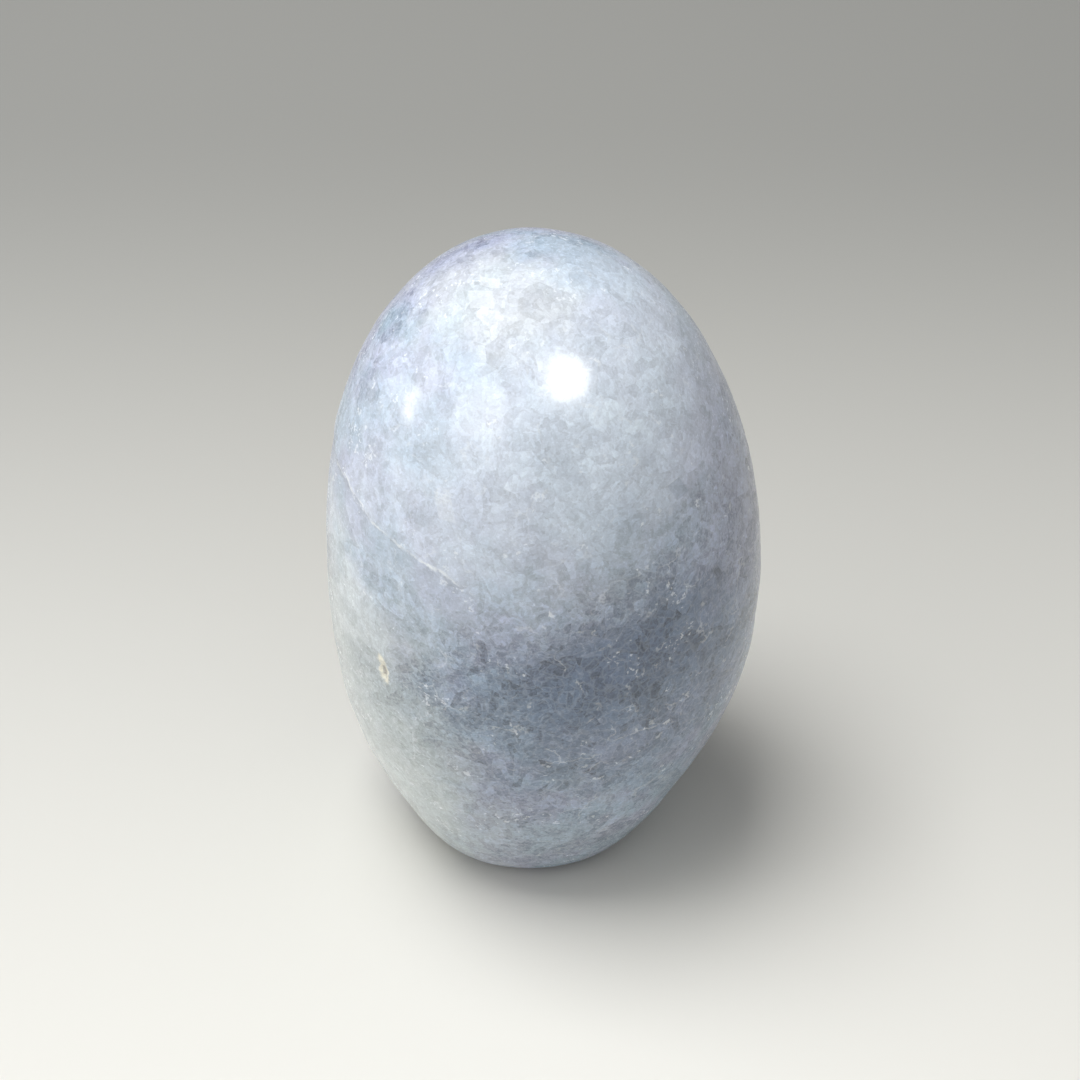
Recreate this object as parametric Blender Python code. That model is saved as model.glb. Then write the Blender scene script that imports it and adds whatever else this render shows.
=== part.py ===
"""A blue calcite freeform: one tall, rounded, hand-polished stone that stands on a small ground flat.

Metres, +Z up. The front of the stone faces -Y. The origin lies on the flat, under the middle of the
stone's width and depth.
"""

import math
from dataclasses import dataclass

import bmesh
import bpy
from mathutils import Matrix, Vector

NODE = "calcite_freeform"
COLLECTION = "blue_calcite_freeform"

# The body, measured from its girth, which is the widest level
HALF_WIDTH = 0.0435
HALF_DEPTH = 0.0405
CROWN_RISE = 0.0741
FOOT_DROP = 0.0809
GIRTH_HEIGHT = 0.0656
# Fullness of the profile: 2 is an ellipse, and more has squarer shoulders
CROWN_FULLNESS = 2.24
FOOT_FULLNESS = 2.13
# The axis of the stone isn't quite straight: it leans to +X, and both of its ends bow to -X
LEAN = 0.0005
BOW = -0.0026
# The rim of the ground flat is eased over this height above and below the cut
RIM_EASE = 0.0055

# Cells along each edge of the cube that is rounded into the stone
CELLS = 26
# Step in degrees between the points from which the slope of the skin is measured
SLOPE_STEP = 0.5


@dataclass(frozen=True)
class GroundFace:
    """A broad soft face that grinding left: where it lies, how wide it spreads, and how deep it went."""

    azimuth: float
    elevation: float
    spread: float
    depth: float


# Degrees and metres. Azimuth 0 is the front, and 90 is the +X side. A negative depth is a swell.
GROUND_FACES = (
    GroundFace(76, -8, 25, -0.0007),
    GroundFace(61, -36, 20, 0.0018),
    GroundFace(-59, -38, 19, 0.0015),
    GroundFace(-81, 4, 20, 0.0006),
    GroundFace(73, 38, 25, 0.0020),
    GroundFace(-73, 56, 33, 0.0004),
    GroundFace(6, -30, 27, 0.0006),
    GroundFace(-14, 34, 26, 0.0006),
    GroundFace(172, 8, 27, 0.0011),
    GroundFace(-140, -14, 24, 0.0009),
    GroundFace(128, -28, 24, 0.0010),
    GroundFace(-118, 34, 26, 0.0008),
    GroundFace(132, 38, 24, 0.0007),
)


@dataclass(frozen=True)
class HealedFracture:
    """A tilted plane through the stone. The skin below it stands back by a small step on the -X side."""

    height: float
    slope: float
    step: float
    softness: float
    reach: float


FRACTURE = HealedFracture(height=0.0873, slope=-0.397, step=0.0004, softness=0.0012, reach=0.045)


@dataclass(frozen=True)
class Pit:
    """A small chip or pit in the polish: its place, its size on the skin, its depth and its turn."""

    azimuth: float
    elevation: float
    length: float
    width: float
    depth: float
    turn: float


PITS = (
    Pit(-43.5, 0.6, 0.0050, 0.0018, 0.0007, 8),
    Pit(-43.5, 77, 0.0056, 0.0032, 0.0006, 70),
    Pit(12, 27.8, 0.0014, 0.0011, 0.0005, 20),
    Pit(155, 22, 0.0044, 0.0020, 0.0006, -35),
    Pit(-128, -20, 0.0030, 0.0015, 0.0005, 50),
)
# A pit's cutter is a ball that is centred this share of its depth above the skin
PIT_LIFT = 0.8


def direction(azimuth: float, elevation: float) -> Vector:
    """The unit direction from the girth's centre for two angles in degrees."""
    turn, rise = math.radians(azimuth), math.radians(elevation)
    return Vector((math.sin(turn) * math.cos(rise), -math.cos(turn) * math.cos(rise), math.sin(rise)))


def smooth_step(value: float) -> float:
    """0 below 0, 1 above 1, and a smooth turn between."""
    share = min(max(value, 0.0), 1.0)
    return share * share * (3 - 2 * share)


def ground_share(way: Vector) -> float:
    """The share of its full reach that the skin keeps in one direction, after the broad faces are ground."""
    share = 1.0
    for face in GROUND_FACES:
        apart = math.degrees(way.angle(direction(face.azimuth, face.elevation)))
        share -= face.depth / HALF_WIDTH * math.exp(-((apart / face.spread) ** 2))
    return share


def eased(height: float) -> float:
    """A height above the cut, after the foot is ground flat there and the rim is eased."""
    overlap = max(1.0 - abs(height) / RIM_EASE, 0.0)
    return max(height, 0.0) + overlap**2 * RIM_EASE / 4


def set_back(point: Vector) -> float:
    """How far the skin at a point stands back under the healed fracture."""
    below = FRACTURE.height + FRACTURE.slope * point.x - point.z
    side = smooth_step(-point.x / HALF_WIDTH)
    fade = 1 - smooth_step(below / FRACTURE.reach)
    return FRACTURE.step * side * fade * smooth_step(below / FRACTURE.softness + 0.5)


def skin(way: Vector) -> Vector:
    """The point of the polished skin in one direction from the girth's centre, before centring."""
    upper = way.z >= 0
    fullness = CROWN_FULLNESS if upper else FOOT_FULLNESS
    half_height = CROWN_RISE if upper else FOOT_DROP
    level = math.hypot(way.x, way.y)
    reach = (level**fullness + abs(way.z) ** fullness) ** (-1 / fullness) * ground_share(way)
    point = Vector((HALF_WIDTH * way.x, HALF_DEPTH * way.y, half_height * way.z)) * reach
    rise = point.z / CROWN_RISE
    point.x += LEAN * rise + BOW * rise**2
    point.z = eased(point.z + GIRTH_HEIGHT)
    outward = Vector((point.x / HALF_WIDTH, point.y / HALF_DEPTH, 0))
    return point - outward * set_back(point)


def rounded_cube(cells: int) -> bmesh.types.BMesh:
    """A cube of even cells, blown up to a ball of radius 1."""
    ball = bmesh.new()
    bmesh.ops.create_cube(ball, size=2)
    bmesh.ops.subdivide_edges(ball, edges=ball.edges[:], cuts=cells - 1, use_grid_fill=True)
    for vertex in ball.verts:
        vertex.co = Vector([math.tan(side * math.pi / 4) for side in vertex.co]).normalized()
    return ball


def middle_of(points: list[Vector]) -> Vector:
    """The middle of the points' width and depth, on the ground."""
    across = [point.x for point in points]
    along = [point.y for point in points]
    return Vector(((min(across) + max(across)) / 2, (min(along) + max(along)) / 2, 0))


def calcite() -> bpy.types.Material:
    """Pale blue massive calcite with a hand polish."""
    material = bpy.data.materials.new("blue_calcite")
    material.use_nodes = True
    shader = material.node_tree.nodes["Principled BSDF"]
    shader.inputs["Base Color"].default_value = (0.46, 0.52, 0.60, 1)
    shader.inputs["Roughness"].default_value = 0.22
    shader.inputs["Metallic"].default_value = 0
    return material


def make_stone(collection: bpy.types.Collection) -> tuple[bpy.types.Object, Vector]:
    """The stone's object, centred over the origin, and the shift that centred it."""
    ball = rounded_cube(CELLS)
    for vertex in ball.verts:
        vertex.co = skin(vertex.co)
    middle = middle_of([vertex.co for vertex in ball.verts])
    bmesh.ops.translate(ball, verts=ball.verts[:], vec=-middle)
    bmesh.ops.recalc_face_normals(ball, faces=ball.faces[:])
    mesh = bpy.data.meshes.new(NODE)
    ball.to_mesh(mesh)
    ball.free()
    mesh.shade_smooth()
    mesh.materials.append(calcite())
    stone = bpy.data.objects.new(NODE, mesh)
    collection.objects.link(stone)
    return stone, middle


def make_cutter(number: int, pit: Pit, middle: Vector, collection: bpy.types.Collection) -> bpy.types.Object:
    """A flattened ball that sinks into the skin to the pit's depth."""
    place = skin(direction(pit.azimuth, pit.elevation))
    up_slope = skin(direction(pit.azimuth, pit.elevation + SLOPE_STEP)) - place
    side_slope = skin(direction(pit.azimuth + SLOPE_STEP, pit.elevation)) - place
    outward = side_slope.cross(up_slope).normalized()
    upward = (up_slope - outward * up_slope.dot(outward)).normalized()
    sideways = upward.cross(outward)

    lift = PIT_LIFT * pit.depth
    deep = pit.depth + lift
    widening = 1 / math.sqrt(1 - (lift / deep) ** 2)
    ball = bmesh.new()
    bmesh.ops.create_uvsphere(ball, u_segments=14, v_segments=8, radius=1)
    size = Vector((pit.width / 2 * widening, pit.length / 2 * widening, deep))
    bmesh.ops.scale(ball, vec=size, verts=ball.verts[:])
    bmesh.ops.rotate(ball, matrix=Matrix.Rotation(math.radians(pit.turn), 3, "Z"), verts=ball.verts[:])
    mesh = bpy.data.meshes.new(f"pit_cutter_{number}")
    ball.to_mesh(mesh)
    ball.free()

    cutter = bpy.data.objects.new(mesh.name, mesh)
    axes = Matrix((sideways, upward, outward)).transposed().to_4x4()
    cutter.matrix_world = Matrix.Translation(place - middle + outward * lift) @ axes
    cutter.hide_render = True
    cutter.display_type = "WIRE"
    collection.objects.link(cutter)
    return cutter


def new_collection(name: str) -> bpy.types.Collection:
    """An empty collection in the scene."""
    collection = bpy.data.collections.new(name)
    bpy.context.scene.collection.children.link(collection)
    return collection


def main() -> None:
    """Clears the scene, then makes the stone and cuts its pits."""
    for thing in list(bpy.data.objects):
        bpy.data.objects.remove(thing)
    stone, middle = make_stone(new_collection(COLLECTION))
    cutters = new_collection("cutters")
    cutters.hide_render = True
    for number, pit in enumerate(PITS, start=1):
        cutter = make_cutter(number, pit, middle, cutters)
        cut = stone.modifiers.new(cutter.name, "BOOLEAN")
        cut.operation = "DIFFERENCE"
        cut.object = cutter
        cut.solver = "EXACT"


main()
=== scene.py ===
"""The looks of the blue calcite freeform: its polished skin, its mosaic of cleavage grains, and the light.

Metres, +Z up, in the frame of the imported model. The front of the stone faces -Y. Patterns on the skin
are worked out in millimetres.
"""

import logging
import math
from dataclasses import dataclass, field
from enum import Enum

import bmesh
import bpy
import numpy as np
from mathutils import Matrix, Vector


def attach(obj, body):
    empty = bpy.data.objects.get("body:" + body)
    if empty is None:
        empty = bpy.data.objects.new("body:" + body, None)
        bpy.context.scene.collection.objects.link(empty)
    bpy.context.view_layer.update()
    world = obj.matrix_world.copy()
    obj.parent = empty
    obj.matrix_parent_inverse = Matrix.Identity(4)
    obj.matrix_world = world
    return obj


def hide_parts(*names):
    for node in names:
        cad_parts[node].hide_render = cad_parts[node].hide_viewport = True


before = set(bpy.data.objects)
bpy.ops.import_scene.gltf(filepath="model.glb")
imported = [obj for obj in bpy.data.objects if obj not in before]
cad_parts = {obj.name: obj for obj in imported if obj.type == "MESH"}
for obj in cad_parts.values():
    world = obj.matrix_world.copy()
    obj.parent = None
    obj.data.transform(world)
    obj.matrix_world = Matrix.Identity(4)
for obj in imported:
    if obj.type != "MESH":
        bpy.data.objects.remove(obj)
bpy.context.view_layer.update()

NODE = "calcite_freeform"
BODY = "root"
MM = 0.001
# Step in degrees between the directions from which the slope of the skin is measured
SLOPE_STEP = 0.5
# What noise gives on average in each channel
NOISE_MIDDLE = 0.5

log = logging.getLogger("calcite")

Triple = tuple[float, float, float]
Socket = bpy.types.NodeSocket
Sockets = dict[str, Socket]
Feed = Socket | float | Triple


def smooth_step(value: np.ndarray | float) -> np.ndarray:
    """A mask that is 0 below 0 and 1 above 1, with a smooth turn between.

    Args:
        value: one number or an array of them.

    Returns:
        The mask for each number.
    """
    share = np.clip(value, 0.0, 1.0)
    return share * share * (3 - 2 * share)


def direction(azimuth: float, elevation: float) -> np.ndarray:
    """A unit direction for two angles in degrees.

    Args:
        azimuth: 0 is the front of the stone and 90 is its +X side.
        elevation: the angle above the girth.

    Returns:
        The direction as an array of three numbers.
    """
    turn, rise = math.radians(azimuth), math.radians(elevation)
    level = math.cos(rise)
    return np.array([math.sin(turn) * level, -math.cos(turn) * level, math.sin(rise)])


@dataclass(frozen=True)
class GroundFace:
    """A broad soft face that grinding left. Angles are in degrees and the depth in metres."""

    azimuth: float
    elevation: float
    spread: float
    depth: float


@dataclass(frozen=True)
class HealedFracture:
    """A tilted plane through the stone, below which the skin stands back a little on the -X side."""

    height: float = 0.0873
    slope: float = -0.397
    step: float = 0.0004
    softness: float = 0.0012
    reach: float = 0.045


@dataclass(frozen=True)
class Pit:
    """A small chip in the polish: its place in degrees, its size in metres and its turn in degrees."""

    azimuth: float
    elevation: float
    length: float
    width: float
    depth: float
    turn: float


@dataclass(frozen=True)
class Place:
    """A spot on the skin in degrees, with the turn of a mark that lies there."""

    azimuth: float
    elevation: float
    turn: float = 0.0


@dataclass(frozen=True)
class SkinFrame:
    """A spot on the skin and its three axes: along the skin, up the skin and outward."""

    centre: np.ndarray
    across: np.ndarray
    upward: np.ndarray
    outward: np.ndarray


GROUND_FACES = (
    GroundFace(76, -8, 25, -0.0007),
    GroundFace(61, -36, 20, 0.0018),
    GroundFace(-59, -38, 19, 0.0015),
    GroundFace(-81, 4, 20, 0.0006),
    GroundFace(73, 38, 25, 0.0020),
    GroundFace(-73, 56, 33, 0.0004),
    GroundFace(6, -30, 27, 0.0006),
    GroundFace(-14, 34, 26, 0.0006),
    GroundFace(172, 8, 27, 0.0011),
    GroundFace(-140, -14, 24, 0.0009),
    GroundFace(128, -28, 24, 0.0010),
    GroundFace(-118, 34, 26, 0.0008),
    GroundFace(132, 38, 24, 0.0007),
)
CREAM_PIT = Pit(-43.5, 0.6, 0.0050, 0.0018, 0.0007, 8)
CROWN_CHIP = Pit(-43.5, 77, 0.0056, 0.0032, 0.0006, 70)
FRONT_PIT = Pit(12, 27.8, 0.0014, 0.0011, 0.0005, 20)
PITS = (
    CREAM_PIT,
    CROWN_CHIP,
    FRONT_PIT,
    Pit(155, 22, 0.0044, 0.0020, 0.0006, -35),
    Pit(-128, -20, 0.0030, 0.0015, 0.0005, 50),
)


@dataclass(frozen=True)
class Skin:
    """The polished skin as a formula: a point of it for each direction from the girth's centre."""

    half_width: float = 0.0435
    half_depth: float = 0.0405
    crown_rise: float = 0.0741
    foot_drop: float = 0.0809
    girth_height: float = 0.0656
    crown_fullness: float = 2.24
    foot_fullness: float = 2.13
    lean: float = 0.0005
    bow: float = -0.0026
    rim_ease: float = 0.0055
    faces: tuple[GroundFace, ...] = GROUND_FACES
    fracture: HealedFracture = HealedFracture()

    def ground_share(self, ways: np.ndarray) -> np.ndarray:
        """What grinding the broad faces leaves of the skin's reach.

        Args:
            ways: unit directions from the girth's centre.

        Returns:
            The share of its full reach that the skin keeps in each direction.
        """
        share = np.ones(len(ways))
        for face in self.faces:
            along = np.clip(ways @ direction(face.azimuth, face.elevation), -1, 1)
            apart = np.degrees(np.arccos(along))
            share -= face.depth / self.half_width * np.exp(-((apart / face.spread) ** 2))
        return share

    def eased(self, height: np.ndarray) -> np.ndarray:
        """The heights above the cut, after the foot is ground flat and its rim is eased."""
        overlap = np.maximum(1.0 - np.abs(height) / self.rim_ease, 0.0)
        return np.maximum(height, 0.0) + overlap**2 * self.rim_ease / 4

    def set_back(self, points: np.ndarray) -> np.ndarray:
        """The step of the healed fracture.

        Args:
            points: points of the skin before centring.

        Returns:
            How far the skin stands back at each point.
        """
        crack = self.fracture
        below = crack.height + crack.slope * points[:, 0] - points[:, 2]
        side = smooth_step(-points[:, 0] / self.half_width)
        fade = 1 - smooth_step(below / crack.reach)
        return crack.step * side * fade * smooth_step(below / crack.softness + 0.5)

    def uncentred(self, ways: np.ndarray) -> np.ndarray:
        """The skin before the stone is centred over its own width and depth.

        Args:
            ways: unit directions from the girth's centre.

        Returns:
            The skin's point in each direction.
        """
        upper = ways[:, 2] >= 0
        fullness = np.where(upper, self.crown_fullness, self.foot_fullness)
        half_height = np.where(upper, self.crown_rise, self.foot_drop)
        level = np.hypot(ways[:, 0], ways[:, 1])
        reach = (level**fullness + np.abs(ways[:, 2]) ** fullness) ** (-1 / fullness)
        reach *= self.ground_share(ways)
        points = ways * reach[:, None]
        points[:, 0] *= self.half_width
        points[:, 1] *= self.half_depth
        points[:, 2] *= half_height
        rise = points[:, 2] / self.crown_rise
        points[:, 0] += self.lean * rise + self.bow * rise**2
        points[:, 2] = self.eased(points[:, 2] + self.girth_height)
        back = self.set_back(points)
        points[:, 0] -= back * points[:, 0] / self.half_width
        points[:, 1] -= back * points[:, 1] / self.half_depth
        return points

    def middle(self) -> np.ndarray:
        """The middle of the stone's width and depth, which goes over the origin.

        Returns:
            The middle on the ground, from the skin's widest levels.
        """
        # A direction for every degree around, up to 60 degrees above and below the girth
        turns = np.radians(np.arange(0, 360, 1.0))
        rises = np.radians(np.arange(-60, 61, 1.0))
        turn, rise = [grid.ravel() for grid in np.meshgrid(turns, rises)]
        ways = np.stack([np.sin(turn) * np.cos(rise), -np.cos(turn) * np.cos(rise), np.sin(rise)], 1)
        points = self.uncentred(ways)
        middle = (points.min(0) + points.max(0)) / 2
        return np.array([middle[0], middle[1], 0.0])

    def points(self, ways: np.ndarray) -> np.ndarray:
        """The skin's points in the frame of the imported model."""
        return self.uncentred(ways) - self.middle()

    def frame_at(self, place: Place | Pit) -> SkinFrame:
        """The centre and axes of a mark on the skin.

        Args:
            place: where the mark lies and how far it is turned.

        Returns:
            Its centre in metres and its unit axes.
        """
        ways = np.array(
            [
                direction(place.azimuth, place.elevation),
                direction(place.azimuth + SLOPE_STEP, place.elevation),
                direction(place.azimuth, place.elevation + SLOPE_STEP),
            ]
        )
        centre, beside, above = self.points(ways)
        outward = np.cross(beside - centre, above - centre)
        outward /= np.linalg.norm(outward)
        upward = (above - centre) - outward * ((above - centre) @ outward)
        upward /= np.linalg.norm(upward)
        across = np.cross(upward, outward)
        turn = math.radians(place.turn)
        turned = across * math.cos(turn) + upward * math.sin(turn)
        return SkinFrame(centre, turned, np.cross(outward, turned), outward)


class CellShape(Enum):
    """How the cells of a mosaic are bounded."""

    ROUNDED = "EUCLIDEAN"
    SQUARED = "CHEBYCHEV"


class Graph:
    """A node tree under construction, with short ways to add and join its nodes."""

    def __init__(self, tree: bpy.types.NodeTree) -> None:
        """Takes the tree that the nodes go in."""
        self.tree = tree

    def feed(self, socket: Socket, value: Feed) -> None:
        """Joins a socket to another one, or sets its number or colour.

        Args:
            socket: the input to fill.
            value: an output socket, a number or three numbers.
        """
        if isinstance(value, Socket):
            self.tree.links.new(value, socket)
        elif socket.type == "RGBA" and not isinstance(value, (int, float)):
            socket.default_value = (*value, 1.0)
        else:
            socket.default_value = value

    def add(self, kind: str, settings: dict[str, object] | None = None, **inputs: Feed) -> bpy.types.Node:
        """Adds a node.

        Args:
            kind: Blender's name for the node.
            settings: the node's own properties.
            inputs: values for its inputs, each under the input's name with _ for a space.

        Returns:
            The new node.
        """
        node = self.tree.nodes.new(kind)
        for name, value in (settings or {}).items():
            setattr(node, name, value)
        for name, value in inputs.items():
            self.feed(node.inputs[name.replace("_", " ")], value)
        return node

    def worked(self, kind: str, operation: str, values: tuple[Feed, ...]) -> bpy.types.Node:
        """Adds a node that works something out from its inputs in turn.

        Args:
            kind: Blender's name for the node.
            operation: what the node works out.
            values: what feeds its inputs, from the first one on.

        Returns:
            The new node.
        """
        node = self.add(kind, {"operation": operation})
        for socket, value in zip(node.inputs, values):
            self.feed(socket, value)
        return node

    def math(self, operation: str, *values: Feed) -> Socket:
        """A sum, product or other function of numbers."""
        return self.worked("ShaderNodeMath", operation, values).outputs[0]

    def vector(self, operation: str, *values: Feed) -> Socket:
        """A sum, product or other function of vectors, as a vector."""
        return self.worked("ShaderNodeVectorMath", operation, values).outputs["Vector"]

    def measure(self, operation: str, *values: Feed) -> Socket:
        """A dot product, length or distance of vectors, as a number."""
        return self.worked("ShaderNodeVectorMath", operation, values).outputs["Value"]

    def scaled(self, vector: Feed, factor: Feed) -> Socket:
        """A vector or colour times a number."""
        settings = {"operation": "SCALE"}
        return self.add("ShaderNodeVectorMath", settings, Vector=vector, Scale=factor).outputs[0]

    def ramp(self, value: Feed, start: Feed, end: Feed) -> Socket:
        """A mask that turns smoothly from 0 to 1.

        Args:
            value: what the mask follows.
            start: the value at which the mask is 0.
            end: the value at which it is 1.

        Returns:
            The mask's socket.
        """
        node = self.add("ShaderNodeMapRange", {"interpolation_type": "SMOOTHSTEP"}, Value=value)
        self.feed(node.inputs["From Min"], start)
        self.feed(node.inputs["From Max"], end)
        return node.outputs["Result"]

    def spread(self, value: Feed, low: float, high: float) -> Socket:
        """Spreads a number evenly between two others.

        Args:
            value: a number from 0 to 1.
            low: what 0 becomes.
            high: what 1 becomes.

        Returns:
            The spread number's socket.
        """
        node = self.add("ShaderNodeMapRange", {"clamp": False}, Value=value)
        self.feed(node.inputs["To Min"], low)
        self.feed(node.inputs["To Max"], high)
        return node.outputs["Result"]

    def inverse(self, value: Feed) -> Socket:
        """One minus a mask."""
        return self.math("SUBTRACT", 1.0, value)

    def mixed(self, share: Feed, first: Feed, second: Feed) -> Socket:
        """A colour between two others.

        Args:
            share: 0 for the first and 1 for the second.
            first: a colour.
            second: a colour.

        Returns:
            The mixed colour's socket.
        """
        node = self.add("ShaderNodeMix", {"data_type": "RGBA"})
        colours = [socket for socket in node.inputs if socket.type == "RGBA"]
        self.feed(node.inputs[0], share)
        self.feed(colours[0], first)
        self.feed(colours[1], second)
        return next(socket for socket in node.outputs if socket.type == "RGBA")

    def overlaid(self, mask: Feed, strength: float, under: Feed, over: Feed) -> Socket:
        """Lays a colour over another one where a mask shows it.

        Args:
            mask: where the upper colour goes.
            strength: how much of it shows there.
            under: the colour below.
            over: the upper colour.

        Returns:
            The mixed colour's socket.
        """
        return self.mixed(self.math("MULTIPLY", mask, strength), under, over)

    def noise(self, position: Feed, size: Feed, detail: float = 2.0, rough: float = 0.5) -> bpy.types.Node:
        """Adds cloudy noise.

        Args:
            position: where it is read, in millimetres.
            size: the size of its lumps in millimetres.
            detail: how many finer layers it has.
            rough: how strong the finer layers are.

        Returns:
            The noise node.
        """
        frequency = self.math("DIVIDE", 1.0, size)
        node = self.add("ShaderNodeTexNoise", Vector=position, Scale=frequency)
        node.inputs["Detail"].default_value = detail
        node.inputs["Roughness"].default_value = rough
        return node

    def stirred(self, position: Feed, stir: bpy.types.Node, reach: Feed) -> Socket:
        """Pushes a position about by noise.

        Args:
            position: the position in millimetres.
            stir: the noise node that pushes it.
            reach: how far it pushes, from one end to the other.

        Returns:
            The pushed position.
        """
        push = self.vector("SUBTRACT", stir.outputs["Color"], (NOISE_MIDDLE, NOISE_MIDDLE, NOISE_MIDDLE))
        return self.vector("ADD", position, self.scaled(push, reach))

    def cells(self, position: Feed, size: Feed, shape: CellShape, feature: str = "F1") -> bpy.types.Node:
        """Adds a mosaic of cells.

        Args:
            position: where it is read, in millimetres.
            size: the size of a cell in millimetres.
            shape: how the cells are bounded.
            feature: what the node measures, in Blender's own word.

        Returns:
            The mosaic's node.
        """
        frequency = self.math("DIVIDE", 1.0, size)
        settings = {"feature": feature, "distance": shape.value}
        return self.add("ShaderNodeTexVoronoi", settings, Vector=position, Scale=frequency)

    def chances(self, colour: Feed) -> list[Socket]:
        """Three unlike random numbers from a cell's colour."""
        return list(self.add("ShaderNodeSeparateColor", Color=colour).outputs)


@dataclass(frozen=True)
class Port:
    """A named input or output of an effect."""

    name: str
    kind: str = "NodeSocketFloat"
    value: float | Triple = 0.0


def vector_port(name: str) -> Port:
    """A port that carries a vector."""
    return Port(name, "NodeSocketVector", (0.0, 0.0, 0.0))


class Effect:
    """A shader node group with named inputs and outputs, built once and placed in each material."""

    name = "effect"
    inputs: tuple[Port, ...] = ()
    outputs: tuple[Port, ...] = (Port("Mask"),)

    def wire(self, graph: Graph, given: Sockets) -> Sockets:
        """Builds the nodes inside the group.

        Args:
            graph: the group's own tree.
            given: the group's inputs by name.

        Returns:
            The sockets that feed the group's outputs, by name.
        """
        raise NotImplementedError

    def group(self) -> bpy.types.NodeTree:
        """The node group, made on first use.

        Returns:
            The group's tree.
        """
        tree = bpy.data.node_groups.get(self.name)
        if tree:
            return tree
        tree = bpy.data.node_groups.new(self.name, "ShaderNodeTree")
        for ports, side in ((self.inputs, "INPUT"), (self.outputs, "OUTPUT")):
            for port in ports:
                socket = tree.interface.new_socket(port.name, in_out=side, socket_type=port.kind)
                if side == "INPUT":
                    socket.default_value = port.value
        graph = Graph(tree)
        entry = tree.nodes.new("NodeGroupInput")
        leaving = tree.nodes.new("NodeGroupOutput")
        made = self.wire(graph, {socket.name: socket for socket in entry.outputs if socket.name})
        for name, socket in made.items():
            graph.feed(leaving.inputs[name], socket)
        return tree

    def place(self, graph: Graph, **values: Feed) -> bpy.types.Node:
        """Places the group in a material.

        Args:
            graph: the material's tree.
            values: what feeds each input, under its name with _ for a space.

        Returns:
            The group's node.
        """
        node = graph.add("ShaderNodeGroup", {"node_tree": self.group()})
        for name, value in values.items():
            graph.feed(node.inputs[name.replace("_", " ")], value)
        return node


class CleavageMosaic(Effect):
    """Crystals that have grown together, each split into blocky grains along its own cleavage planes."""

    name = "cleavage_mosaic"
    inputs = (vector_port("Position"), Port("Crystal Size"), Port("Grain Size"), Port("Drift"))
    outputs = (Port("Crystal Tone"), Port("Grain Tone"), Port("Grain Seam"))
    # How a block is squeezed along its three axes, how far its sides lean, and how wide its seam is
    BLOCK = (1.0, 0.62, 1.3)
    SHEAR = 0.27
    SEAM = 0.14

    def wire(self, graph: Graph, given: Sockets) -> Sockets:
        """Builds crystals, turns the space inside each, and cuts it into sheared blocks.

        Args:
            graph: the group's own tree.
            given: the group's inputs by name.

        Returns:
            The sockets that feed the group's outputs, by name.
        """
        stir = graph.noise(given["Position"], given["Crystal Size"], detail=1)
        where = graph.stirred(given["Position"], stir, given["Drift"])
        crystal = graph.cells(where, given["Crystal Size"], CellShape.ROUNDED)
        turn = graph.scaled(crystal.outputs["Color"], 2 * math.pi)
        euler = {"rotation_type": "EULER_XYZ"}
        turned = graph.add("ShaderNodeVectorRotate", euler, Vector=where, Rotation=turn)
        blocks = graph.vector("MULTIPLY", turned.outputs[0], self.BLOCK)
        axes = graph.add("ShaderNodeSeparateXYZ", Vector=blocks)
        sheared = graph.math("MULTIPLY_ADD", axes.outputs["Y"], self.SHEAR, axes.outputs["X"])
        joined = graph.add("ShaderNodeCombineXYZ", X=sheared, Y=axes.outputs["Y"], Z=axes.outputs["Z"])
        rhombs = joined.outputs[0]
        grain = graph.cells(rhombs, given["Grain Size"], CellShape.SQUARED)
        next_grain = graph.cells(rhombs, given["Grain Size"], CellShape.SQUARED, "F2")
        gap = graph.math("SUBTRACT", next_grain.outputs["Distance"], grain.outputs["Distance"])
        return {
            "Crystal Tone": graph.chances(crystal.outputs["Color"])[1],
            "Grain Tone": graph.chances(grain.outputs["Color"])[0],
            "Grain Seam": graph.inverse(graph.ramp(gap, 0.0, self.SEAM)),
        }


class Flecks(Effect):
    """Small bright flecks, gathered in patches: white flecks in the stone, and also painted glints."""

    name = "flecks"
    inputs = (
        vector_port("Position"),
        *(Port(name) for name in ("Size", "Share", "Patch Size", "Patch Low", "Patch High")),
    )
    # The size of the fraying noise and how far it pushes, in sizes of a fleck
    FRAY_SIZE = 1.3
    FRAY_REACH = 3.4
    # How softly a fleck is kept or left, and where its body starts and ends to fade
    KEEPING = 0.06
    BODY_FADE = (0.22, 0.52)

    def wire(self, graph: Graph, given: Sockets) -> Sockets:
        """Keeps some of the cells of a fine mosaic, more of them inside the patches.

        Args:
            graph: the group's own tree.
            given: the group's inputs by name.

        Returns:
            The sockets that feed the group's outputs, by name.
        """
        fray = graph.noise(given["Position"], graph.math("MULTIPLY", given["Size"], self.FRAY_SIZE), detail=2)
        reach = graph.math("MULTIPLY", given["Size"], self.FRAY_REACH)
        where = graph.stirred(given["Position"], fray, reach)
        cell = graph.cells(where, given["Size"], CellShape.SQUARED)
        patch = graph.noise(given["Position"], given["Patch Size"], detail=3, rough=0.6)
        gathered = graph.ramp(patch.outputs["Fac"], given["Patch Low"], given["Patch High"])
        odds = graph.inverse(graph.math("MULTIPLY", gathered, given["Share"]))
        chance = graph.chances(cell.outputs["Color"])[0]
        kept = graph.ramp(graph.math("SUBTRACT", chance, odds), 0.0, self.KEEPING)
        body = graph.inverse(graph.ramp(cell.outputs["Distance"], *self.BODY_FADE))
        return {"Mask": graph.math("MULTIPLY", kept, body)}


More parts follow.
